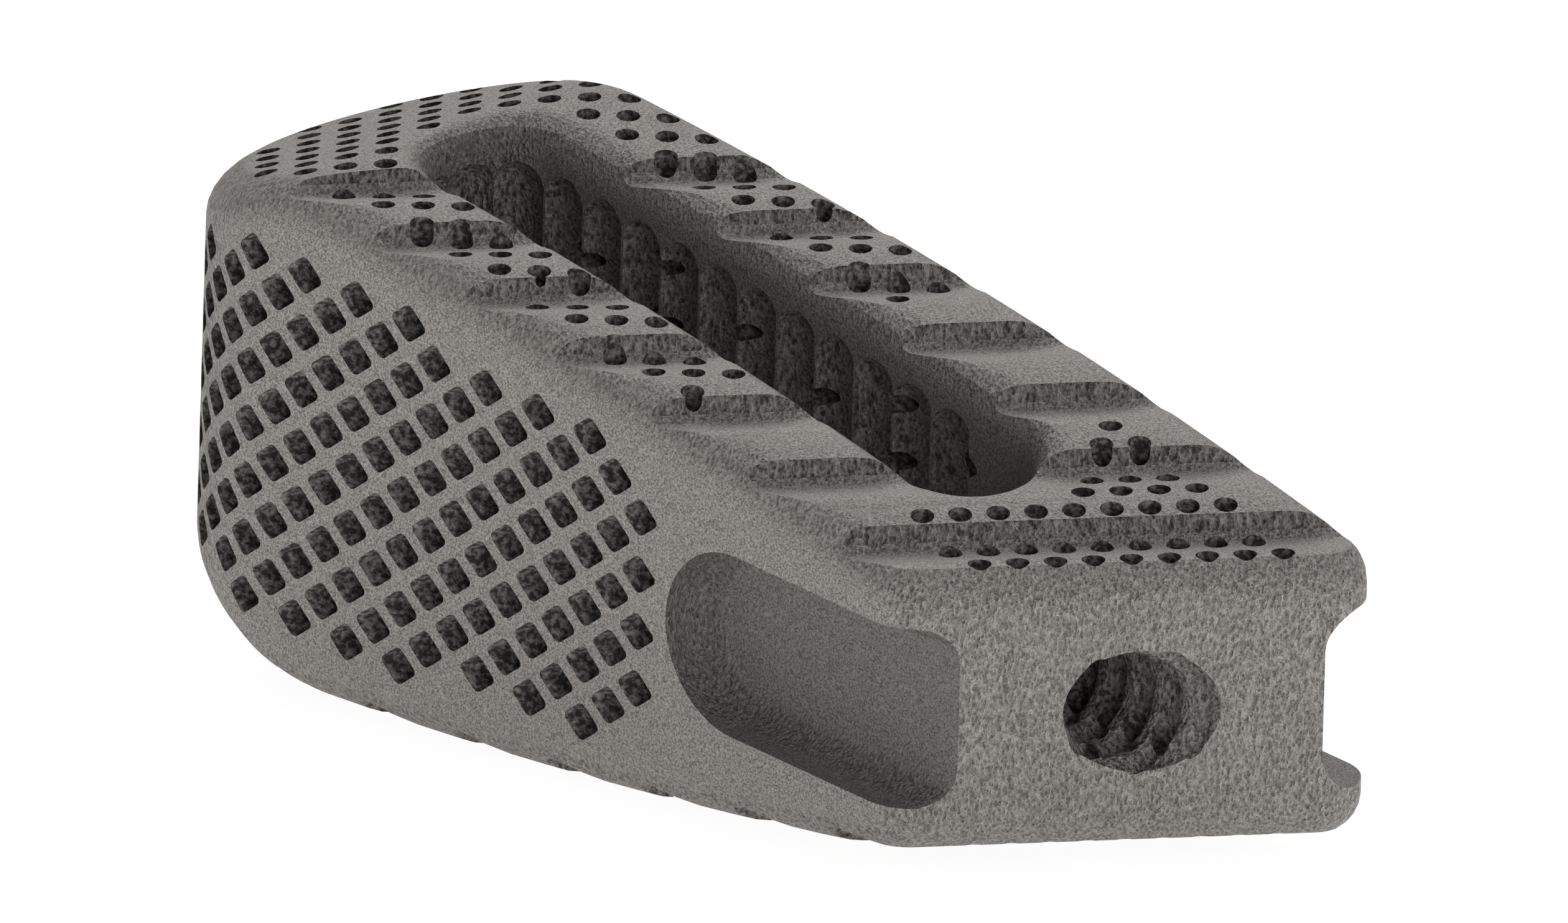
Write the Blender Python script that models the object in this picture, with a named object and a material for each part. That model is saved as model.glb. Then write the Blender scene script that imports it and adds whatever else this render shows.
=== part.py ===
import math

import bmesh
import bpy
from mathutils import Matrix, Vector

# Oblique lordotic lumbar interbody cage, printed in titanium as one body.
# The body is laid out in its own frame, in millimetres: X runs along the long axis towards the
# threaded end, the nose points along -X, Y is across the width, and Z = 0 is the plane that the
# two endplates mirror about. The end face passes through the origin.
# The finished body is then laid on two teeth of its lower endplate and turned into metres.
MM = 0.001

# Plan: straight flanks, a round nose, and an end face turned away from square
WIDTH = 10.7
NOSE_TIP = 31.85
OBLIQUE = math.radians(35.0)
OBTUSE_RADIUS = 1.5
ACUTE_RADIUS = 1.1

# Heights are half-heights above the mid-plane; the endplate rises away from the end face on an arc
END_HALF_HEIGHT = 3.72
END_SLOPE = 0.262
DOME_RADIUS = 103.0
RAMP_HALF_HEIGHT = 4.65
RAMP_SLOPE = 0.37
RAMP_BLEND = 0.5
EDGE_FILLET = 1.1

# Graft window through the cage from top to bottom
WINDOW_WIDTH = 3.5
WINDOW_FROM = 25.5
WINDOW_TO = 5.2
WINDOW_FILLET = 1.0

# Teeth on each endplate, counted from the threaded end along the direction square to the end face
TOOTH_COUNT = 7
TOOTH_PITCH = 2.75
FIRST_CREST = 2.26
CREST_FLAT = 0.29
LAND_RADIUS = 3.69
GROOVE_RADIUS = 0.40
GROOVE_HOOK = math.radians(15.0)

# Grip slots in both flanks, open at the threaded end; they share the threaded hole's axis, which
# lies a little off the middle of the width
INSERTER_AXIS_Y = -0.22
SLOT_FLOOR = 3.75
SLOT_HALF_HEIGHT = 2.45
SLOT_LENGTH = 11.9
SLOT_FILLET = 1.0

# Pilot of the threaded hole, which runs on into the graft window
HOLE_DIAMETER = 3.1
HOLE_DEPTH = 7.0

# Side pores: square, in staggered rows
SIDE_STEP_ALONG = 0.768
SIDE_STEP_UP = 0.778
SIDE_PORE = 0.70
SIDE_DEPTH = 0.62
SIDE_FIRST = 19.03
SIDE_TO_EDGE = 1.72
SIDE_FROM = 12.85

# Endplate pores: round, upright and right through, on one grid over nose and rails and another
# at the end face
TOP_PORE = 0.60
RAIL_STEP = 0.70
RAIL_PLACE = (-25.85, -3.32)
RAIL_TO = 12.5
RAIL_TO_FLANK = 0.80
RAIL_TO_WINDOW = 0.85
NOSE_TO_EDGE = 0.95
END_ROW_GAP = 0.857
END_ROW_SHIFT = -0.60
END_ROW_PITCH = 0.952
END_PLACE = (0.88, -4.30)
END_TO_FLANK = 1.60
END_TO_WINDOW = 1.25

# The crests that the lower endplate lies on, counted from the threaded end
REST_CRESTS = (4, 5)

HALF = WIDTH / 2
NOSE_CENTRE = HALF - NOSE_TIP
ACROSS = Vector((math.sin(OBLIQUE), math.cos(OBLIQUE), 0))
AHEAD = Vector((-math.cos(OBLIQUE), math.sin(OBLIQUE), 0))
UP = Vector((0, 0, 1))
REACH = 3 * WIDTH
SLAB = 40.0


def clear_scene():
    for obj in list(bpy.data.objects):
        bpy.data.objects.remove(obj, do_unlink=True)


def ahead_of(x, y):
    """Distance from the end face, square to it."""
    return AHEAD.x * x + AHEAD.y * y


def dome(t):
    """Half-height of the endplate's crest surface at a distance t from the end face."""
    return END_HALF_HEIGHT + END_SLOPE * t - t * t / (2 * DOME_RADIUS)


def ramp(x):
    """Half-height of the flat ramp that falls towards the nose tip."""
    return RAMP_HALF_HEIGHT + RAMP_SLOPE * (x + NOSE_TIP)


def half_height(x, y):
    """The lower of dome and ramp, blended where they meet."""
    high, low = dome(ahead_of(x, y)), ramp(x)
    soft = max(RAMP_BLEND - abs(high - low), 0) ** 2 / (4 * RAMP_BLEND)
    return min(high, low) - soft


def arc(cx, cy, radius, start, end, steps):
    angles = [start + (end - start) * i / steps for i in range(steps + 1)]
    return [(cx + radius * math.cos(a), cy + radius * math.sin(a)) for a in angles]


def body_outline(inset):
    """Plan outline moved inwards by inset, anticlockwise from the obtuse corner at -Y."""
    face = math.atan2(-AHEAD.y, -AHEAD.x)
    points = []
    for side, radius, start, end, steps in (
        (-1, OBTUSE_RADIUS, -math.pi / 2, face, 2),
        (1, ACUTE_RADIUS, face, math.pi / 2, 4),
    ):
        gap = max(radius, inset + 0.1)
        y = side * (HALF - gap)
        x = (gap - AHEAD.y * y) / AHEAD.x
        points += arc(x, y, gap - inset, start, end, steps)
    points += arc(NOSE_CENTRE, 0, HALF - inset, math.pi / 2, 3 * math.pi / 2, 16)
    return points


def window_outline(inset):
    """The graft window's outline, with a negative inset where its rim flares."""
    half = WINDOW_WIDTH / 2 - inset
    end = WINDOW_TO + WINDOW_WIDTH / 2
    nose = WINDOW_FROM - WINDOW_WIDTH / 2
    points = arc(-end, 0, half, -math.pi / 2, math.pi / 2, 8)
    points += arc(-nose, 0, half, math.pi / 2, 3 * math.pi / 2, 8)
    return points


def new_object(name, mesh_builder):
    mesh = bpy.data.meshes.new(name)
    mesh_builder.to_mesh(mesh)
    mesh_builder.free()
    obj = bpy.data.objects.new(name, mesh)
    bpy.context.collection.objects.link(obj)
    return obj


def cutter(obj):
    obj.hide_render = True
    obj.display_type = "WIRE"
    return obj


def cut(target, tool):
    """Subtracts the tool and keeps the result on the target's own mesh."""
    modifier = target.modifiers.new(tool.name, "BOOLEAN")
    modifier.operation = "DIFFERENCE"
    modifier.solver = "EXACT"
    modifier.use_self = False
    modifier.object = tool
    graph = bpy.context.evaluated_depsgraph_get()
    result = bmesh.new()
    result.from_object(target, graph)
    bmesh.ops.remove_doubles(result, verts=result.verts, dist=1e-4)
    bmesh.ops.dissolve_degenerate(result, edges=result.edges, dist=1e-5)
    target.modifiers.clear()
    result.to_mesh(target.data)
    result.free()
    bpy.data.objects.remove(tool, do_unlink=True)


def add_ring(mesh, outline, level):
    return [mesh.verts.new((x, y, level)) for x, y in outline]


def bridge(mesh, low, high):
    count = len(low)
    for i in range(count):
        j = (i + 1) % count
        mesh.faces.new((low[i], low[j], high[j], high[i]))


def draped_slab(name, outline, rim, fillet_steps, margin):
    """A prism over an outline, as tall as the endplates, with its upper and lower edges rounded by
    an arc of radius rim, outwards where rim is negative; margin lifts its caps past the endplates."""
    levels = []
    for i in range(fillet_steps + 1):
        angle = i / fillet_steps * math.pi / 2
        levels.append((rim * (1 - math.cos(angle)), abs(rim) * (1 - math.sin(angle))))
    tops = [(inset, SLAB - drop) for inset, drop in levels]
    if margin:
        tops.append((levels[-1][0], SLAB + margin))
    rings = [(inset, -level) for inset, level in reversed(tops)] + tops
    mesh = bmesh.new()
    loops = [add_ring(mesh, outline(inset), level) for inset, level in rings]
    for low, high in zip(loops, loops[1:]):
        bridge(mesh, low, high)
    mesh.faces.new(list(reversed(loops[0])))
    mesh.faces.new(loops[-1])
    slice_at_ramp(mesh)
    for vert in mesh.verts:
        side = 1 if vert.co.z > 0 else -1
        vert.co.z += side * (half_height(vert.co.x, vert.co.y) - SLAB)
    bmesh.ops.remove_doubles(mesh, verts=mesh.verts, dist=1e-5)
    bmesh.ops.recalc_face_normals(mesh, faces=mesh.faces)
    return new_object(name, mesh)


def slice_at_ramp(mesh):
    """Edges across the slab, so that it can bend with the dome and where the ramp begins."""
    stations = [(Vector((0, 0, 0)) + AHEAD * t, AHEAD) for t in (5.0, 10.0, 15.0, 20.0)]
    tilt = Vector((END_SLOPE * AHEAD.x - RAMP_SLOPE, END_SLOPE * AHEAD.y, 0)) * 0.8
    start = ramp_crossing()
    for share in (-1.0, -0.5, 0.0, 0.5, 1.0):
        offset = share * RAMP_BLEND / tilt.length
        stations.append((Vector((start, 0, 0)) + tilt.normalized() * offset, tilt.normalized()))
    for place, normal in stations:
        everything = mesh.verts[:] + mesh.edges[:] + mesh.faces[:]
        bmesh.ops.bisect_plane(mesh, geom=everything, dist=1e-5, plane_co=place, plane_no=normal)


def ramp_crossing():
    """Where the dome and the ramp are as high as each other, on the long axis."""
    low, high = -NOSE_TIP, -WINDOW_TO
    while high - low > 0.001:
        middle = (low + high) / 2
        if dome(ahead_of(middle, 0)) > ramp(middle):
            low = middle
        else:
            high = middle
    return low


def prism(mesh, outline, start, along):
    """A closed prism from an outline of points, pushed along a vector."""
    low = [mesh.verts.new(point + start) for point in outline]
    high = [mesh.verts.new(point + start + along) for point in outline]
    bridge(mesh, low, high)
    mesh.faces.new(list(reversed(low)))
    mesh.faces.new(high)


def groove_profile():
    """Section of one groove, as distances past the crest before it and heights over the dome: the
    land falls away on an arc from a flat crest, and turns up under the hooked next crest."""
    centre_u = TOOTH_PITCH - GROOVE_RADIUS * math.cos(GROOVE_HOOK)
    centre_v = -GROOVE_RADIUS * math.sin(GROOVE_HOOK)
    reach = TOOTH_PITCH - CREST_FLAT - 1.41 * GROOVE_RADIUS
    fall = math.atan(reach / LAND_RADIUS)
    points = []
    for i in range(3):
        u = reach * i / 3
        points.append((CREST_FLAT + u, -u * u / (2 * LAND_RADIUS)))
    steps = 3
    for i in range(steps + 1):
        angle = -math.pi / 2 - fall + (math.pi / 2 + fall + GROOVE_HOOK) * i / steps
        points.append((centre_u + GROOVE_RADIUS * math.cos(angle), centre_v + GROOVE_RADIUS * math.sin(angle)))
    return points


def crest(number):
    return FIRST_CREST + (number - 1) * TOOTH_PITCH


def cut_teeth(body):
    """Grooves across both endplates, each one straight along the direction of the end face."""
    mesh = bmesh.new()
    for side in (1, -1):
        for number in range(1, TOOTH_COUNT + 1):
            start = crest(number) - TOOTH_PITCH
            outline = []
            for u, v in groove_profile():
                t = start + u
                outline.append(AHEAD * t + UP * side * (dome(t) + v))
            lift = UP * side * WIDTH
            outline += [outline[-1] + lift, outline[0] + lift]
            prism(mesh, outline, ACROSS * -REACH, ACROSS * 2 * REACH)
    bmesh.ops.recalc_face_normals(mesh, faces=mesh.faces)
    cut(body, cutter(new_object("tooth_grooves", mesh)))


def cut_window(body):
    cut(body, cutter(draped_slab("graft_window", window_outline, -WINDOW_FILLET, 2, WIDTH)))


def slot_section(inset):
    """Outline of a grip slot in side view, moved inwards by inset: a half round at its nose end,
    and straight out past the end face."""
    radius = SLOT_HALF_HEIGHT - inset
    centre = SLOT_HALF_HEIGHT - SLOT_LENGTH
    points = [(WIDTH, -radius)]
    points += [(x, z) for x, z in reversed(arc(centre, 0, radius, math.pi / 2, 3 * math.pi / 2, 10))]
    points += [(WIDTH, radius)]
    return points


def cut_slots(body):
    """Both grip slots, each with its floor parallel to the flank and its inner edge rounded."""
    mesh = bmesh.new()
    steps = 3
    for side in (1, -1):
        rings = [(0, HALF + WIDTH)]
        for i in range(steps + 1):
            angle = i / steps * math.pi / 2
            inset = SLOT_FILLET * (1 - math.cos(angle))
            rings.append((inset, SLOT_FLOOR + SLOT_FILLET * (1 - math.sin(angle))))
        loops = []
        for inset, y in rings:
            y = side * y + INSERTER_AXIS_Y
            loops.append([mesh.verts.new((x, y, z)) for x, z in slot_section(inset)])
        for low, high in zip(loops, loops[1:]):
            bridge(mesh, low, high)
        mesh.faces.new(loops[0])
        mesh.faces.new(loops[-1])
    bmesh.ops.recalc_face_normals(mesh, faces=mesh.faces)
    cut(body, cutter(new_object("grip_slots", mesh)))


def cut_hole(body):
    """The threaded hole's pilot, along the long axis."""
    mesh = bmesh.new()
    steps = 16
    circle = arc(INSERTER_AXIS_Y, 0, HOLE_DIAMETER / 2, 0, 2 * math.pi, steps)[:-1]
    outline = [Vector((0, y, z)) for y, z in circle]
    mouth = [mesh.verts.new(point + Vector((WIDTH, 0, 0))) for point in outline]
    floor = [mesh.verts.new(point - Vector((HOLE_DEPTH, 0, 0))) for point in outline]
    bridge(mesh, mouth, floor)
    mesh.faces.new(mouth)
    mesh.faces.new(list(reversed(floor)))
    bmesh.ops.recalc_face_normals(mesh, faces=mesh.faces)
    cut(body, cutter(new_object("thread_pilot", mesh)))


def flank_entry(t, side):
    """Where a line across the cage, at distance t from the end face, enters its outline on one side:
    the distance along the line from the plane through the hole's axis."""
    foot = AHEAD * t
    flank = (side * HALF - foot.y) / ACROSS.y
    if (foot + ACROSS * flank).x >= NOSE_CENTRE:
        return flank
    nose = Vector((NOSE_CENTRE, 0, 0)) - foot
    middle = nose.dot(ACROSS)
    rest = HALF ** 2 - (nose.length ** 2 - middle ** 2)
    if rest <= 0:
        return None
    return middle + side * math.sqrt(rest)


def side_sites():
    """Grid places (distance from the end face, height) of the side pores."""
    sites = []
    for i in range(-30, 31):
        for j in range(-12, 13):
            if (i + j) % 2 == 0:
                sites.append((SIDE_FIRST + i * SIDE_STEP_ALONG, j * SIDE_STEP_UP))
    return sites


def side_allowed(t, z, side):
    """Whether a side pore has room: clear of both endplates, the grip slot and the nose tip."""
    entry = flank_entry(t, side)
    if entry is None:
        return False
    place = AHEAD * t + ACROSS * entry
    grazing = (place.x - NOSE_CENTRE) < -0.88 * HALF or side * place.y < 0
    if grazing or place.x > -SIDE_FROM:
        return False
    return half_height(place.x * 0.985, place.y * 0.9) - abs(z) > SIDE_TO_EDGE


def cut_side_pores(body):
    """Square pockets in both flanks, all running the way the end face runs."""
    mesh = bmesh.new()
    reach = SIDE_PORE / math.sqrt(2)
    corners = [(reach, 0), (0, reach), (-reach, 0), (0, -reach)]
    for side in (1, -1):
        for t, z in side_sites():
            if not side_allowed(t, z, side):
                continue
            entry = flank_entry(t, side)
            outline = [AHEAD * (t + a) + UP * (z + b) for a, b in corners]
            start = ACROSS * (entry - side * SIDE_DEPTH)
            prism(mesh, outline, start, ACROSS * side * WIDTH)
    bmesh.ops.recalc_face_normals(mesh, faces=mesh.faces)
    cut(body, cutter(new_object("side_pores", mesh)))


def window_gap(x, y):
    """Distance in plan from a point to the graft window's wall."""
    end = WINDOW_TO + WINDOW_WIDTH / 2
    nose = WINDOW_FROM - WINDOW_WIDTH / 2
    along = max(x + end, -nose - x, 0)
    return math.hypot(along, y) - WINDOW_WIDTH / 2


def outline_gap(x, y):
    """Distance in plan from a point to the flanks or the round nose."""
    if x < NOSE_CENTRE:
        return HALF - math.hypot(x - NOSE_CENTRE, y)
    return HALF - abs(y)


def top_sites():
    """Plan places of the endplate pores: the nose and rail grid, then the grid by the end face."""
    sites = []
    for i in range(-12, 22):
        for j in range(-4, 14):
            x, y = RAIL_PLACE[0] + i * RAIL_STEP, RAIL_PLACE[1] + j * RAIL_STEP
            edge = NOSE_TO_EDGE if x < NOSE_CENTRE else RAIL_TO_FLANK
            inside = outline_gap(x, y) > edge and window_gap(x, y) > RAIL_TO_WINDOW
            if (i + j) % 2 == 0 and inside and x < -RAIL_TO:
                sites.append((x, y))
    for row in range(7):
        for k in range(0 if row < 3 else row + 2, 9):
            along = END_PLACE[1] + row * END_ROW_SHIFT + k * END_ROW_PITCH
            place = AHEAD * (END_PLACE[0] + row * END_ROW_GAP) + ACROSS * along
            if outline_gap(*place.xy) > END_TO_FLANK and window_gap(*place.xy) > END_TO_WINDOW:
                sites.append((place.x, place.y))
    return sites


def cut_top_pores(body):
    """Round upright channels from one endplate to the other."""
    mesh = bmesh.new()
    sides = 5
    radius = TOP_PORE / 2
    for x, y in top_sites():
        outline = [Vector((a, b, 0)) for a, b in arc(x, y, radius, 0, 2 * math.pi, sides)[:-1]]
        prism(mesh, outline, UP * -WIDTH, UP * 2 * WIDTH)
    bmesh.ops.recalc_face_normals(mesh, faces=mesh.faces)
    cut(body, cutter(new_object("endplate_pores", mesh)))


def titanium():
    material = bpy.data.materials.new("printed_titanium")
    material.use_nodes = True
    shader = material.node_tree.nodes["Principled BSDF"]
    shader.inputs["Base Color"].default_value = (0.235, 0.218, 0.203, 1)
    shader.inputs["Metallic"].default_value = 0.6
    shader.inputs["Roughness"].default_value = 0.75
    return material


def lay_on_teeth(body):
    """Turns the body about the direction of its teeth until two lower crests are level, sets them
    on Z = 0 with the body's box centred over the origin, and turns millimetres into metres."""
    t_low, t_high = [crest(number) for number in REST_CRESTS]
    tilt = math.atan2(dome(t_high) - dome(t_low), t_high - t_low)
    turn = Matrix.Rotation(tilt, 4, ACROSS)
    body.data.transform(turn)
    places = [vert.co for vert in body.data.vertices]
    middle = [(min(p[i] for p in places) + max(p[i] for p in places)) / 2 for i in (0, 1)]
    floor = min(p.z for p in places)
    body.data.transform(Matrix.Translation((-middle[0], -middle[1], -floor)))
    body.data.transform(Matrix.Scale(MM, 4))


def build_cage():
    body = draped_slab("cage_body", body_outline, EDGE_FILLET, 3, 0)
    cut_window(body)
    cut_teeth(body)
    cut_slots(body)
    cut_hole(body)
    cut_side_pores(body)
    cut_top_pores(body)
    lay_on_teeth(body)
    body.data.materials.append(titanium())
    body.data.shade_smooth()
    body.data.set_sharp_from_angle(angle=math.radians(35))
    return body


clear_scene()
build_cage()
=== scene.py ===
import math

import bpy
from mathutils import Matrix, Vector


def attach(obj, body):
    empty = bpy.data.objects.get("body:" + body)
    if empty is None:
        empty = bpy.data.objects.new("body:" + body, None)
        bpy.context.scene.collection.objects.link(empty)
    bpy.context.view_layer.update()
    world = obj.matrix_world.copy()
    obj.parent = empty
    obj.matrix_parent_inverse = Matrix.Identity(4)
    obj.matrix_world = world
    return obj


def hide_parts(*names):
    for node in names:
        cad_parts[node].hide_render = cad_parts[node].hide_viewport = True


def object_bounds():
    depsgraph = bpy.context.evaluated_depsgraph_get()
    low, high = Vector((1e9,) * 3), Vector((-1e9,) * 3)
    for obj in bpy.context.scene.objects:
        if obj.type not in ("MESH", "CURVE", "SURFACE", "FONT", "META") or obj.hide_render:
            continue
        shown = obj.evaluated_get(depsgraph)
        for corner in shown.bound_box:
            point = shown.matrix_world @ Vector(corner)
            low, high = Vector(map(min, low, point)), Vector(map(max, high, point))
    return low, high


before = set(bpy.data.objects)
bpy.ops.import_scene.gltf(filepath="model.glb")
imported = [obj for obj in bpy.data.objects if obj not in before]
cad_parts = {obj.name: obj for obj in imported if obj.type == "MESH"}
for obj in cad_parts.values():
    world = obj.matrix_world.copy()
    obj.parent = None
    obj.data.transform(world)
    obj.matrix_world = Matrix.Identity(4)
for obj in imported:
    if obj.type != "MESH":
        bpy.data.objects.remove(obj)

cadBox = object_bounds()

# Everything is modelled in millimetres, lying straight: x runs to the threaded end and z = 0 is the
# middle between the endplates. At the end it is laid on its teeth and turned into metres.
# The end face and the teeth run along across, and ahead looks from the end face to the nose.
oblique = math.radians(35)
across = Vector((math.sin(oblique), math.cos(oblique), 0))
ahead = Vector((-math.cos(oblique), math.sin(oblique), 0))
up = Vector((0, 0, 1))


def arc(cx, cy, radius, start, end, steps):
    angles = [start + (end - start) * i / steps for i in range(steps + 1)]
    return [(cx + radius * math.cos(a), cy + radius * math.sin(a)) for a in angles]


def activate(obj):
    if bpy.context.mode != "OBJECT":
        bpy.ops.object.mode_set(mode="OBJECT")
    bpy.ops.object.select_all(action="DESELECT")
    obj.select_set(True)
    bpy.context.view_layer.objects.active = obj


def outlineFace(name, points):
    # a filled circle whose corners are moved onto the outline
    bpy.ops.object.select_all(action="DESELECT")
    bpy.ops.mesh.primitive_circle_add(vertices=len(points), radius=1, fill_type="NGON")
    obj = bpy.context.object
    obj.name = name
    for vert, point in zip(obj.data.vertices, points):
        vert.co = point
    return obj


def turnOutwards(obj):
    activate(obj)
    bpy.ops.object.mode_set(mode="EDIT")
    bpy.ops.mesh.select_all(action="SELECT")
    bpy.ops.mesh.normals_make_consistent(inside=False)
    bpy.ops.object.mode_set(mode="OBJECT")


def extrudeFace(obj, moves):
    activate(obj)
    bpy.ops.object.mode_set(mode="EDIT")
    bpy.ops.mesh.select_all(action="SELECT")
    for move in moves:
        bpy.ops.mesh.extrude_region_move(TRANSFORM_OT_translate={"value": tuple(move)})
    turnOutwards(obj)


def bevelWhere(obj, test, offset, segments):
    activate(obj)
    bpy.ops.object.mode_set(mode="EDIT")
    bpy.ops.mesh.select_mode(type="EDGE")
    bpy.ops.mesh.select_all(action="DESELECT")
    bpy.ops.object.mode_set(mode="OBJECT")
    mesh = obj.data
    sides = {}
    for face in mesh.polygons:
        for key in face.edge_keys:
            sides.setdefault(key, []).append(face.normal)
    for edge in mesh.edges:
        a, b = (mesh.vertices[i].co for i in edge.vertices)
        edge.select = test(a, b, sides[tuple(sorted(edge.vertices))])
    bpy.ops.object.mode_set(mode="EDIT")
    bpy.ops.mesh.bevel(offset=offset, segments=segments, loop_slide=False, clamp_overlap=False)
    bpy.ops.object.mode_set(mode="OBJECT")


def bisectAt(obj, places):
    activate(obj)
    bpy.ops.object.mode_set(mode="EDIT")
    for place, normal in places:
        bpy.ops.mesh.select_all(action="SELECT")
        bpy.ops.mesh.bisect(plane_co=tuple(place), plane_no=tuple(normal), threshold=1e-5)
    bpy.ops.object.mode_set(mode="OBJECT")


def joined(name, objs):
    activate(objs[0])
    for obj in objs:
        obj.select_set(True)
    bpy.ops.object.join()
    bpy.context.object.name = name
    return bpy.context.object


def copies(name, template, matrices):
    made = []
    for matrix in matrices:
        twin = template.copy()
        twin.data = template.data.copy()
        twin.data.transform(matrix)
        bpy.context.collection.objects.link(twin)
        made.append(twin)
    bpy.data.objects.remove(template)
    return joined(name, made)


def subtract(body, tool, material):
    # the cut faces take the material that the cutter wears
    if not tool.data.materials:
        tool.data.materials.append(material)
    name = tool.name
    cut = body.modifiers.new("cut", "BOOLEAN")
    cut.operation = "DIFFERENCE"
    cut.solver = "EXACT"
    cut.material_mode = "TRANSFER"
    cut.object = tool
    activate(body)
    bpy.ops.object.modifier_apply(modifier="cut")
    bpy.data.objects.remove(tool)
    bpy.ops.object.mode_set(mode="EDIT")
    bpy.ops.mesh.select_all(action="SELECT")
    bpy.ops.mesh.remove_doubles(threshold=1e-4)
    bpy.ops.mesh.dissolve_degenerate(threshold=1e-5)
    bpy.ops.object.mode_set(mode="OBJECT")
    print(name, "cut, the body now has", len(body.data.polygons), "faces")


def fromHex(code):
    channels = [int(code[i : i + 2], 16) / 255 for i in (1, 3, 5)]
    linear = [c / 12.92 if c <= 0.04045 else ((c + 0.055) / 1.055) ** 2.4 for c in channels]
    return (*linear, 1)


def addNode(tree, kind, settings=None, **inputs):
    # an input is named by its label with _ for a space, or as i and its number
    node = tree.nodes.new(kind)
    for name, value in (settings or {}).items():
        setattr(node, name, value)
    for name, value in inputs.items():
        numbered = name[0] == "i" and name[1:].isdigit()
        socket = node.inputs[int(name[1:]) if numbered else name.replace("_", " ")]
        if isinstance(value, bpy.types.NodeSocket):
            tree.links.new(value, socket)
        else:
            socket.default_value = value
    return node


# Outer skin: a dull, warm grey metal with a fine grain that catches the light in specks.
titanium = {
    "light": "#a6a29d",  # warm grey of titanium as it leaves the blast cabinet
    "dark": "#63605d",  # between the melted grains
    "metallic": 0.35,
    "roughness": 0.66,
    "grain": 0.055,  # mm, powder grains
    "grainHeight": 0.05,
    "leather": 0.085,  # mm, the coarser skin that the layers leave on rounded and turned faces
    "leatherLength": 2.2,  # times as long as wide
    "leatherHeight": 0.25,
    # the leathery skin's valleys are painted darker: painted shade
    "leatherValleyShade": 0.68,  # share of the colour that follows the leathery skin where it is full
    "smoothFrom": 0.985,  # the skin is smooth where a face looks this squarely up or sideways
    "leatherFrom": 0.88,  # and fully leathery from here on
    "smoothShare": 0.15,
    "darkAt": 0.36,
    "lightAt": 0.62,
}
# The grip slots and the window's rim are painted a shade darker than the skin: painted shade in these
# recesses.
paintedShadeSlotRimTitanium = {
    **titanium,
    "light": "#878480",
    "dark": "#504d4b",
}
# Steep, undercut and inner walls: rougher and streaky with more powder, and painted dark, which is
# painted shade.
roughWallShadeTitanium = {
    **titanium,
    "light": "#918d89",
    "dark": "#34312f",
    "grain": 0.08,
    "leather": 0.11,
    "leatherHeight": 0.24,
}
# Pore walls: coarse pale powder grains on nearly black, the near black being painted shade deep in
# the pores.
poreShadePowder = {
    "light": "#8a8783",
    "dark": "#2f2d2c",
    "metallic": 0.35,
    "roughness": 0.8,
    "grain": 0.16,
    "grainHeight": 0.09,
    "darkAt": 0.42,
    "lightAt": 0.68,
}


def newMaterial(name, look):
    material = bpy.data.materials.new(name)
    material.use_nodes = True
    shader = material.node_tree.nodes["Principled BSDF"]
    shader.inputs["Metallic"].default_value = look["metallic"]
    shader.inputs["Roughness"].default_value = look["roughness"]
    return material, material.node_tree, shader


def noise(tree, vector, size, detail, roughness):
    scale = 1000 / size
    return addNode(
        tree,
        "ShaderNodeTexNoise",
        Vector=vector,
        Scale=scale,
        Detail=detail,
        Roughness=roughness,
    )


def colourBy(tree, shader, height, look):
    spread = addNode(
        tree,
        "ShaderNodeMapRange",
        Value=height,
        From_Min=look["darkAt"],
        From_Max=look["lightAt"],
    )
    colour = addNode(
        tree,
        "ShaderNodeMix",
        {"data_type": "RGBA"},
        i0=spread.outputs[0],
        i6=fromHex(look["dark"]),
        i7=fromHex(look["light"]),
    )
    tree.links.new(colour.outputs[2], shader.inputs["Base Color"])


def printedTitanium(name, look):
    material, tree, shader = newMaterial(name, look)
    coords = addNode(tree, "ShaderNodeTexCoord")
    spot = coords.outputs["Object"]
    grain = noise(tree, spot, look["grain"], 2.0, 0.6)
    drawn = addNode(
        tree,
        "ShaderNodeMapping",
        Vector=spot,
        Rotation=(0.35, -0.9, 0.6),
        Scale=(1, 1, 1 / look["leatherLength"]),
    )
    skin = noise(tree, drawn.outputs[0], look["leather"], 2.0, 0.5)
    # the flanks and the lands come out smooth, everything between them leathery
    facing = addNode(tree, "ShaderNodeSeparateXYZ", Vector=coords.outputs["Normal"])
    level = addNode(tree, "ShaderNodeMath", {"operation": "ABSOLUTE"}, i0=facing.outputs["Z"])
    sideways = addNode(tree, "ShaderNodeMath", {"operation": "ABSOLUTE"}, i0=facing.outputs["Y"])
    smooth = addNode(
        tree,
        "ShaderNodeMath",
        {"operation": "MAXIMUM"},
        i0=level.outputs[0],
        i1=sideways.outputs[0],
    )
    share = addNode(
        tree,
        "ShaderNodeMapRange",
        Value=smooth.outputs[0],
        From_Min=look["smoothFrom"],
        From_Max=look["leatherFrom"],
        To_Min=look["smoothShare"],
        To_Max=1.0,
    )
    # painted shade darkens its valleys, so the colour follows the leathery skin as well as the grain
    paintedValleyShade = addNode(
        tree,
        "ShaderNodeMath",
        {"operation": "MULTIPLY"},
        i0=share.outputs[0],
        i1=look["leatherValleyShade"],
    )
    tone = addNode(
        tree,
        "ShaderNodeMix",
        i0=paintedValleyShade.outputs[0],
        i2=grain.outputs["Fac"],
        i3=skin.outputs["Fac"],
    )
    colourBy(tree, shader, tone.outputs[0], look)
    skinBump = addNode(
        tree,
        "ShaderNodeBump",
        Height=skin.outputs["Fac"],
        Strength=share.outputs[0],
        Distance=look["leatherHeight"] / 1000,
    )
    grainBump = addNode(
        tree,
        "ShaderNodeBump",
        Height=grain.outputs["Fac"],
        Distance=look["grainHeight"] / 1000,
        Normal=skinBump.outputs[0],
    )
    tree.links.new(grainBump.outputs[0], shader.inputs["Normal"])
    return material


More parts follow.
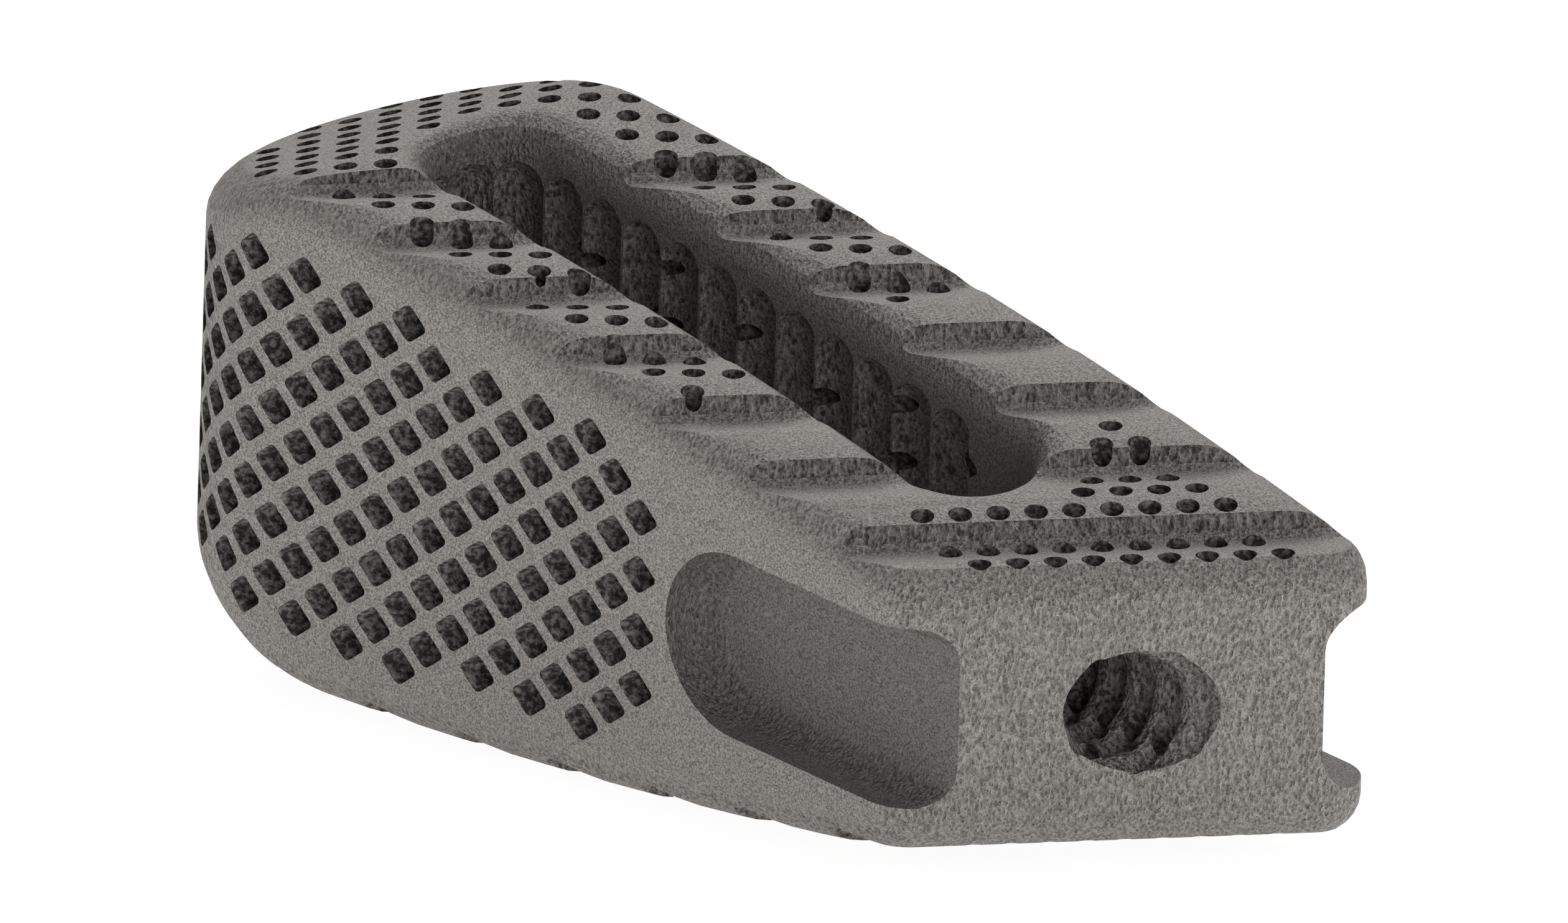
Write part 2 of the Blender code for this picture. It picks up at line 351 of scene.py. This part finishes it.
def powderTitanium(name, look):
    material, tree, shader = newMaterial(name, look)
    coords = addNode(tree, "ShaderNodeTexCoord")
    grain = noise(tree, coords.outputs["Object"], look["grain"], 2.5, 0.6)
    colourBy(tree, shader, grain.outputs["Fac"], look)
    bump = addNode(
        tree,
        "ShaderNodeBump",
        Height=grain.outputs["Fac"],
        Distance=look["grainHeight"] / 1000,
    )
    tree.links.new(bump.outputs[0], shader.inputs["Normal"])
    return material


skinFinish = printedTitanium("blastedTitanium", titanium)
paintedShadeSlotRimFinish = printedTitanium("paintedShadeSlotRimTitanium", paintedShadeSlotRimTitanium)
roughWallShadeFinish = printedTitanium("roughPrintedWallShadeTitanium", roughWallShadeTitanium)
poreShadeFinish = powderTitanium("poreShadePowderTitanium", poreShadePowder)
print("materials ready")

# Body: outline, rounded edges and the domed endplates that ramp down to the nose.
bodyShape = {
    "width": 10.7,
    "noseTip": 31.85,
    "obtuseRadius": 1.5,
    "acuteRadius": 1.15,
    "edgeFillet": 1.1,
    "slab": 6.0,  # half height before the endplates are lifted onto the dome
    "endHalfHeight": 3.72,
    "endSlope": 0.262,
    "domeRadius": 103.0,
    "domeStation": 0.9,  # between the cuts that let the dome bend
    "rampHalfHeight": 4.65,
    "rampSlope": 0.37,
    "rampBlend": 0.5,
    "rampFrom": -31.5,
    "rampStation": 0.35,
}
# Graft window: a long round-ended hole with a generous rim and fluted walls.
windowShape = {
    "width": 3.5,
    "noseEnd": 25.5,
    "nearEnd": 5.2,
    "rimFillet": 1.0,
    "fluteRadius": 0.76,
    "fluteInset": 0.46,  # how deep a flute goes into the wall
    "flutePitch": 1.40,
    "fluteStagger": 0.35,
    "fluteFrom": 9.6,
    "fluteTo": 23.6,
    "fluteBelowTop": 1.05,
    "fluteCap": 0.15,
    "endFlutes": (-58, -19, 20, 59),  # degrees round the nose end
}
halfWidth = bodyShape["width"] / 2
noseCentre = halfWidth - bodyShape["noseTip"]
halfWindow = windowShape["width"] / 2


def aheadOf(x, y):
    return ahead.x * x + ahead.y * y


def dome(t):
    rise = bodyShape["endHalfHeight"] + bodyShape["endSlope"] * t
    return rise - t * t / (2 * bodyShape["domeRadius"])


def ramp(x):
    return bodyShape["rampHalfHeight"] + bodyShape["rampSlope"] * (x + bodyShape["noseTip"])


def halfHeight(x, y):
    high, low = dome(aheadOf(x, y)), ramp(x)
    blend = bodyShape["rampBlend"]
    return min(high, low) - max(blend - abs(high - low), 0) ** 2 / (4 * blend)


def bodyOutline():
    face = math.atan2(-ahead.y, -ahead.x)
    points = []
    for side, radius, start, end, steps in (
        (-1, bodyShape["obtuseRadius"], -math.pi / 2, face, 8),
        (1, bodyShape["acuteRadius"], face, math.pi / 2, 14),
    ):
        y = side * (halfWidth - radius)
        points += arc((radius - ahead.y * y) / ahead.x, y, radius, start, end, steps)
    return points + arc(noseCentre, 0, halfWidth, math.pi / 2, 3 * math.pi / 2, 64)


def windowOutline():
    near, nose = windowShape["nearEnd"] + halfWindow, windowShape["noseEnd"] - halfWindow
    points = arc(-near, 0, halfWindow, -math.pi / 2, math.pi / 2, 28)
    return points + arc(-nose, 0, halfWindow, math.pi / 2, 3 * math.pi / 2, 28)


def rimEdge(a, b, normals):
    top = bodyShape["slab"] - 1e-3
    level = abs(a.z) > top and abs(b.z) > top
    return level and len(normals) == 2 and abs(normals[0].dot(normals[1])) < 0.5


def windowEdge(a, b, normals):
    slack = 0.01
    near, nose = -windowShape["nearEnd"] + slack, -windowShape["noseEnd"] - slack
    inside = all(abs(p.y) < halfWindow + slack and nose < p.x < near for p in (a, b))
    return inside and rimEdge(a, b, normals)


def outerEdge(a, b, normals):
    return rimEdge(a, b, normals) and not windowEdge(a, b, normals)


def makeBlank():
    slab = bodyShape["slab"]
    body = outlineFace("cageBody", [(x, y, -slab) for x, y in bodyOutline()])
    extrudeFace(body, [(0, 0, 2 * slab)])
    bisectAt(body, [((0, 0, 0), (0, 1, 0))])
    tool = outlineFace("windowCutter", [(x, y, -2 * slab) for x, y in windowOutline()])
    extrudeFace(tool, [(0, 0, 4 * slab)])
    body.data.materials.append(skinFinish)
    # the window's walls take the darker finish: painted shade
    subtract(body, tool, paintedShadeSlotRimFinish)
    bevelWhere(body, outerEdge, bodyShape["edgeFillet"], 6)
    bevelWhere(body, windowEdge, windowShape["rimFillet"], 8)
    stations = [(ahead * (bodyShape["domeStation"] * i), ahead) for i in range(-3, 25)]
    for i in range(26):
        x = bodyShape["rampFrom"] + bodyShape["rampStation"] * i
        stations.append(((x, 0, 0), (1, 0, 0)))
    bisectAt(body, stations)
    for vert in body.data.vertices:
        x, y, z = vert.co
        vert.co.z = z + (halfHeight(x, y) - slab) * (1 if z > 0 else -1)
    print("blank:", len(body.data.polygons), "faces")
    return body


# Teeth: gentle lands with a hooked steep face towards the threaded end.
teeth = {
    "count": 7,
    "pitch": 2.75,
    "first": 2.26,
    "crestFlat": 0.29,
    "landRadius": 3.69,
    "landToe": 1.41,  # groove radii that the land stops short of the steep face
    "landSteps": 9,
    "grooveRadius": 0.40,
    "grooveSteps": 10,
    "grooveTop": 9,
    "hook": math.radians(15),
    "steepFrom": 0.75,  # a cutter's face that looks this far ahead cuts a steep face
    "restOn": (4, 5),  # the two teeth that the cage lies on
}


def crestAt(number):
    return teeth["first"] + (number - 1) * teeth["pitch"]


def grooveProfile():
    radius, hook = teeth["grooveRadius"], teeth["hook"]
    centreU = teeth["pitch"] - radius * math.cos(hook)
    centreV = -radius * math.sin(hook)
    reach = teeth["pitch"] - teeth["crestFlat"] - teeth["landToe"] * radius
    fall = math.atan(reach / teeth["landRadius"])
    points = []
    for i in range(teeth["landSteps"]):
        run = reach * i / teeth["landSteps"]
        points.append((teeth["crestFlat"] + run, -(run**2) / (2 * teeth["landRadius"])))
    for i in range(teeth["grooveSteps"] + 1):
        angle = -math.pi / 2 - fall + (math.pi / 2 + fall + hook) * i / teeth["grooveSteps"]
        points.append((centreU + radius * math.cos(angle), centreV + radius * math.sin(angle)))
    return points


def cutTeeth(body):
    grooves = []
    reach = 3 * bodyShape["width"]
    for side in (1, -1):
        above = up * side * teeth["grooveTop"]
        for number in range(teeth["count"]):
            start = crestAt(number)
            section = [
                ahead * (start + u) + up * side * (dome(start + u) + v) for u, v in grooveProfile()
            ]
            section += [section[-1] + above, section[0] + above]
            groove = outlineFace("groove", [p - across * reach for p in section])
            extrudeFace(groove, [across * 2 * reach])
            groove.data.materials.append(skinFinish)
            groove.data.materials.append(roughWallShadeFinish)
            # faces that look ahead take the rough wall finish, whose dark colour is painted shade
            # under the hooks
            for face in groove.data.polygons:
                face.material_index = 1 if face.normal.dot(ahead) > teeth["steepFrom"] else 0
            grooves.append(groove)
    subtract(body, joined("toothCutter", grooves), skinFinish)


# Insertion end: grip slots and the threaded hole.
insertion = {
    "axisY": -0.22,
    "slotFloor": 3.75,
    "slotHalfHeight": 2.45,
    "slotLength": 11.9,
    "slotFillet": 1.0,
    "slotPast": 9,  # the slot's cutter starts this far before the end and goes this far out
    "slotOut": 8,
    "minorRadius": 1.38,
    "threadDepth": 0.34,
    "threadPitch": 1.0,
    "threadStart": 2.0,
    "threadLength": 8.2,
    "threadStep": 0.1,
    "threadSegments": 56,
    "ridge": 0.30,  # share of half a pitch that stays on the ridge
    "slope": 0.55,
    "mouthRadius": 1.64,
    "mouthDepth": 0.12,
    "mouthSlope": 1.2,
}


def cutSlots(body):
    slots = []
    half, past = insertion["slotHalfHeight"], insertion["slotPast"]
    ends = arc(half - insertion["slotLength"], 0, half, 3 * math.pi / 2, math.pi / 2, 32)
    for side in (1, -1):
        floor = side * insertion["slotFloor"] + insertion["axisY"]
        outline = [(past, floor, -half)] + [(x, floor, z) for x, z in ends] + [(past, floor, half)]
        slot = outlineFace("slot", outline)
        extrudeFace(slot, [(0, side * insertion["slotOut"], 0)])

        def floorEdge(a, b, normals):
            return abs(a.y - floor) < 1e-3 and abs(b.y - floor) < 1e-3

        bevelWhere(slot, floorEdge, insertion["slotFillet"], 8)
        slots.append(slot)
    # the slots take the darker finish: painted shade in the recess
    subtract(body, joined("slotCutter", slots), paintedShadeSlotRimFinish)


def fluteCapsule():
    # one unit tall to each side of the middle, with rounded ends
    bpy.ops.object.select_all(action="DESELECT")
    radius, cap = windowShape["fluteRadius"], windowShape["fluteCap"]
    bpy.ops.mesh.primitive_uv_sphere_add(segments=28, ring_count=10, radius=radius)
    capsule = bpy.context.object
    for vert in capsule.data.vertices:
        rise = vert.co.z / radius * cap
        vert.co.z = rise + (1 - cap) * (1 if rise > 1e-6 else -1)
    return capsule


def fluteAt(x, y):
    tall = halfHeight(x, y) - windowShape["fluteBelowTop"]
    return Matrix.Translation((x, y, 0)) @ Matrix.Diagonal((1, 1, tall, 1))


def cutFlutes(body):
    out = halfWindow + windowShape["fluteInset"] - windowShape["fluteRadius"]
    span = windowShape["fluteTo"] - windowShape["fluteFrom"]
    places = []
    for side in (1, -1):
        for i in range(int(span / windowShape["flutePitch"]) + 1):
            x = -windowShape["fluteFrom"] - i * windowShape["flutePitch"]
            places.append(fluteAt(x + side * windowShape["fluteStagger"], side * out))
    # the flutes take the rough wall finish, painted dark as painted shade
    subtract(body, copies("fluteCutter", fluteCapsule(), places), roughWallShadeFinish)
    # the flutes round the nose end overlap, so each is cut by itself
    for angle in windowShape["endFlutes"]:
        x = halfWindow - windowShape["noseEnd"] - out * math.cos(math.radians(angle))
        flute = fluteAt(x, out * math.sin(math.radians(angle)))
        subtract(body, copies("endFluteCutter", fluteCapsule(), [flute]), roughWallShadeFinish)


def threadWave(phase):
    # 0 on the ridge, 1 at the bottom of the groove
    phase = phase % 1
    rise = min(phase, 1 - phase) * 2
    return min(max((rise - insertion["ridge"]) / insertion["slope"], 0), 1)


def cutThread(body):
    axisY, radius, step = (insertion[key] for key in ("axisY", "minorRadius", "threadStep"))
    circle = arc(0, 0, radius, 0, 2 * math.pi, insertion["threadSegments"])[:-1]
    start = insertion["threadStart"]
    tool = outlineFace("threadCutter", [(start, y + axisY, z) for y, z in circle])
    rings = round((insertion["threadLength"] + start) / step)
    extrudeFace(tool, [(-step, 0, 0)] * rings)
    for vert in tool.data.vertices:
        x, y, z = vert.co
        angle = math.atan2(z, y - axisY)
        phase = x / insertion["threadPitch"] + angle / (2 * math.pi)
        below = aheadOf(x, y) - insertion["mouthDepth"]
        mouth = insertion["mouthRadius"] - max(below, 0) * insertion["mouthSlope"]
        grown = max(radius + insertion["threadDepth"] * threadWave(phase), mouth) / radius
        vert.co = (x, axisY + (y - axisY) * grown, z * grown)
    # the thread takes the rough wall finish, painted dark as painted shade inside the hole
    subtract(body, tool, roughWallShadeFinish)


# Side channels: rounded squares on their corners that run the way the end face runs.
sidePores = {
    "stepAlong": 0.768,
    "stepUp": 0.778,
    "first": 19.03,
    "size": 0.78,
    "corner": 0.15,
    "depth": 1.9,
    "throughEvery": 3,  # every third column runs into the window
    "throughFirst": 5,
    "throughDepth": 5.0,
    "noseMargin": 2,
    "crossTo": 13.5,  # up to here they cross the window and end in its far wall
    "crossDepth": 9.9,
    "out": 6,
    "toEdge": 1.72,
    "edgeInX": 0.985,  # the endplate is measured a little inside the flank
    "edgeInY": 0.9,
    "from": 12.85,
    "noseTo": 0.93,
    "midGap": 0.4,
}


def flankEntry(t, side):
    # where the line at t along across comes out of the flank or of the round nose
    foot = ahead * t
    flank = (side * halfWidth - foot.y) / across.y
    if (foot + across * flank).x >= noseCentre:
        return flank
    nose = Vector((noseCentre, 0, 0)) - foot
    middle = nose.dot(across)
    rest = halfWidth**2 - (nose.length**2 - middle**2)
    return middle + side * math.sqrt(rest) if rest > 0 else None


def sideRoom(t, z, side):
    entry = flankEntry(t, side)
    if entry is None:
        return False
    place = ahead * t + across * entry
    if place.x - noseCentre < -sidePores["noseTo"] * halfWidth or place.x > -sidePores["from"]:
        return False
    if side * place.y < -sidePores["midGap"]:
        return False
    edge = halfHeight(place.x * sidePores["edgeInX"], place.y * sidePores["edgeInY"])
    return edge - abs(z) > sidePores["toEdge"]


def channelDepth(i, t, side):
    into = (i + sidePores["throughFirst"]) % sidePores["throughEvery"] == 0
    mouth = ahead * t + across * flankEntry(t, side)
    if not into or mouth.x <= noseCentre + sidePores["noseMargin"]:
        return sidePores["depth"]
    crosses = side < 0 and t < sidePores["crossTo"]
    return sidePores["crossDepth"] if crosses else sidePores["throughDepth"]


def cutSideChannels(body):
    half, corner = sidePores["size"] / 2, sidePores["corner"]
    inner = half - corner
    square = []
    for quarter, (cx, cy) in enumerate(((1, 1), (-1, 1), (-1, -1), (1, -1))):
        start, end = quarter * math.pi / 2, (quarter + 1) * math.pi / 2
        square += arc(cx * inner, cy * inner, corner, start, end, 3)
    turn = math.radians(45)
    section = [
        (a * math.cos(turn) - b * math.sin(turn), 0, a * math.sin(turn) + b * math.cos(turn))
        for a, b in square
    ]
    template = outlineFace("channel", section)
    extrudeFace(template, [(0, 1, 0)])
    lie = Matrix((ahead, across, up)).transposed().to_4x4()
    places = []
    # the ranges reach past the flank on all sides, and sideRoom picks what fits
    for side in (1, -1):
        for i in range(-20, 8):
            for j in range(-8, 9):
                t = sidePores["first"] + i * sidePores["stepAlong"]
                z = j * sidePores["stepUp"]
                if (i + j) % 2 or not sideRoom(t, z, side):
                    continue
                depth = channelDepth(i, t, side)
                end = ahead * t + across * (flankEntry(t, side) - side * depth) + up * z
                stretch = Matrix.Diagonal((1, side * (depth + sidePores["out"]), 1, 1))
                places.append(Matrix.Translation(end) @ lie @ stretch)
    tool = copies("sideCutter", template, places)
    turnOutwards(tool)
    # the channel walls are painted nearly black: painted shade
    subtract(body, tool, poreShadeFinish)


# Upright pores through both endplates: a square grid on the rails and the nose, and a sheared one
# in rows along the end face.
uprightPores = {
    "radius": 0.30,
    "step": 0.70,
    "place": (-25.85, -3.32),
    "railTo": 12.5,
    "toFlank": 0.80,
    "toWindow": 0.85,
    "noseToEdge": 0.95,
    "endRows": 7,
    "endRowGap": 0.857,
    "endRowShift": -0.60,
    "endRowPitch": 0.952,
    "endPlace": (0.88, -4.30),
    "endToFlank": 1.60,
    "endToWindow": 1.25,
}


def windowGap(x, y):
    near = x + windowShape["nearEnd"] + halfWindow
    nose = -windowShape["noseEnd"] + halfWindow - x
    return math.hypot(max(near, nose, 0), y) - halfWindow


def outlineGap(x, y):
    return halfWidth - (math.hypot(x - noseCentre, y) if x < noseCentre else abs(y))


def uprightSites():
    pores = uprightPores
    sites = []
    for i in range(-12, 22):
        for j in range(-4, 14):
            x, y = pores["place"][0] + i * pores["step"], pores["place"][1] + j * pores["step"]
            edge = pores["noseToEdge"] if x < noseCentre else pores["toFlank"]
            inside = outlineGap(x, y) > edge and windowGap(x, y) > pores["toWindow"]
            if (i + j) % 2 == 0 and inside and x < -pores["railTo"]:
                sites.append((x, y))
    for row in range(pores["endRows"]):
        # from the fourth row on only the rail beside the window has pores
        for k in range(0 if row < 3 else row + 2, 9):
            along = pores["endPlace"][1] + row * pores["endRowShift"] + k * pores["endRowPitch"]
            place = ahead * (pores["endPlace"][0] + row * pores["endRowGap"]) + across * along
            clear = outlineGap(*place.xy) > pores["endToFlank"]
            if clear and windowGap(*place.xy) > pores["endToWindow"]:
                sites.append((place.x, place.y))
    return sites


def cutUprightPores(body):
    bpy.ops.object.select_all(action="DESELECT")
    bpy.ops.mesh.primitive_cylinder_add(vertices=20, radius=uprightPores["radius"], depth=20)
    template = bpy.context.object
    places = [Matrix.Translation((x, y, 0)) for x, y in uprightSites()]
    # the pore walls are painted nearly black: painted shade
    subtract(body, copies("poreCutter", template, places), poreShadeFinish)


def layOnTeeth(body):
    # returns the move from the millimetres above to the frame, for the camera
    low, high = (crestAt(number) for number in teeth["restOn"])
    turn = Matrix.Rotation(math.atan2(dome(high) - dome(low), high - low), 4, across)
    toMetres = Matrix.Scale(0.001, 4)
    body.data.transform(turn)
    body.data.transform(toMetres)
    small, large = (
        [pick(vert.co[i] for vert in body.data.vertices) for i in range(3)] for pick in (min, max)
    )
    shift = Vector(
        (
            (cadBox[0][0] + cadBox[1][0] - small[0] - large[0]) / 2,
            (cadBox[0][1] + cadBox[1][1] - small[1] - large[1]) / 2,
            cadBox[0][2] - small[2],
        )
    )
    body.data.transform(Matrix.Translation(shift))
    return Matrix.Translation(shift) @ toMetres @ turn


body = makeBlank()
cutTeeth(body)
cutSlots(body)
cutFlutes(body)
cutThread(body)
cutSideChannels(body)
cutUprightPores(body)
place = layOnTeeth(body)
activate(body)
bpy.ops.object.shade_smooth_by_angle(angle=math.radians(32))
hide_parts("cage_body")
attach(body, "root")
body.data.calc_loop_triangles()
print("cage:", len(body.data.loop_triangles), "triangles")

# Stage: white floor, soft light from behind and a weaker one from the front, and the camera.
stage = {
    "pixelsPerMm": 64.8,
    "frame": (2520, 1483),
    "holePixel": (1834.5, 1137.0),
    "holeMiddle": (-0.154, -0.22, 0.1),
    "toTheRight": (0.697, 0.717),
    "elevation": math.radians(24.5),
    "roll": math.asin(0.030),
    "cameraDistance": 0.25,
    "world": 0.26,
    "lightAngle": math.radians(55),
    "card": (0.88, 0.88, 0.87, 1),
    "cardGlow": 0.85,  # share of the floor that the camera sees as plain white
    "underGlow": 0.66,
    "floorSize": 4,
    "floorDrop": 0.00002,
}


def makeCamera():
    rise, roll = stage["elevation"], stage["roll"]
    sideX, sideY = stage["toTheRight"]
    right = Vector((sideX, sideY, 0)).normalized()
    towards = Vector((sideY * math.cos(rise), -sideX * math.cos(rise), math.sin(rise))).normalized()
    lift = towards.cross(right).normalized()
    cameraRight = right * math.cos(roll) + lift * math.sin(roll)
    cameraUp = lift * math.cos(roll) - right * math.sin(roll)
    scale = stage["pixelsPerMm"]
    middle = [side / 2 for side in stage["frame"]]
    target = Vector(stage["holeMiddle"])
    target += cameraRight * (middle[0] - stage["holePixel"][0]) / scale
    target += cameraUp * (stage["holePixel"][1] - middle[1]) / scale
    turn = place.to_3x3().normalized()
    axes = [turn @ axis for axis in (cameraRight, cameraUp, towards)]
    data = bpy.data.cameras.new("camera")
    data.type = "ORTHO"
    data.ortho_scale = stage["frame"][0] / scale / 1000
    data.clip_start = 0.001
    camera = bpy.data.objects.new("camera", data)
    matrix = Matrix(axes).transposed().to_4x4()
    matrix.translation = place @ target + axes[2] * stage["cameraDistance"]
    camera.matrix_world = matrix
    bpy.context.collection.objects.link(camera)
    bpy.context.scene.camera = camera
    return axes[2]


def softLight(name, azimuth, elevation, strength):
    # azimuth counts from the side where the camera stands
    turn = math.atan2(towardsCamera.y, towardsCamera.x) + math.radians(azimuth)
    rise = math.radians(elevation)
    flat = math.cos(rise)
    source = Vector((math.cos(turn) * flat, math.sin(turn) * flat, math.sin(rise)))
    data = bpy.data.lights.new(name, "SUN")
    data.energy = strength
    data.angle = stage["lightAngle"]
    light = bpy.data.objects.new(name, data)
    light.rotation_euler = source.to_track_quat("Z", "Y").to_euler()
    bpy.context.collection.objects.link(light)


towardsCamera = makeCamera()
softLight("backLight", 180, 52, 1.85)
softLight("frontLight", 32, 14, 1.5)

bpy.ops.object.select_all(action="DESELECT")
floorHeight = cadBox[0][2] - stage["floorDrop"]
bpy.ops.mesh.primitive_plane_add(size=stage["floorSize"], location=(0, 0, floorHeight))
floor = bpy.context.object
floor.name = "paleFloor"
floorMaterial = bpy.data.materials.new("paleCard")
floorMaterial.use_nodes = True
tree = floorMaterial.node_tree
tree.nodes.clear()
output = addNode(tree, "ShaderNodeOutputMaterial")
card = addNode(tree, "ShaderNodeBsdfDiffuse", Color=stage["card"])
under = addNode(tree, "ShaderNodeEmission", Strength=stage["underGlow"])
lit = addNode(tree, "ShaderNodeAddShader", i0=card.outputs[0], i1=under.outputs[0])
glow = addNode(tree, "ShaderNodeEmission", Strength=1.0)
ray = addNode(tree, "ShaderNodeLightPath")
share = addNode(
    tree,
    "ShaderNodeMath",
    {"operation": "MULTIPLY"},
    i0=ray.outputs["Is Camera Ray"],
    i1=stage["cardGlow"],
)
mix = addNode(tree, "ShaderNodeMixShader", i0=share.outputs[0], i1=lit.outputs[0], i2=glow.outputs[0])
tree.links.new(mix.outputs[0], output.inputs["Surface"])
floor.data.materials.append(floorMaterial)

world = bpy.data.worlds.new("softStudio")
bpy.context.scene.world = world
world.use_nodes = True
tree = world.node_tree
tree.nodes.clear()
output = addNode(tree, "ShaderNodeOutputWorld")
ray = addNode(tree, "ShaderNodeLightPath")
lit = addNode(tree, "ShaderNodeBackground", Color=(1, 1, 1, 1), Strength=stage["world"])
white = addNode(tree, "ShaderNodeBackground", Color=(1, 1, 1, 1), Strength=1.0)
mix = addNode(
    tree,
    "ShaderNodeMixShader",
    i0=ray.outputs["Is Camera Ray"],
    i1=lit.outputs[0],
    i2=white.outputs[0],
)
tree.links.new(mix.outputs[0], output.inputs["Surface"])

bpy.context.scene.view_settings.view_transform = "Standard"
print("stage ready")
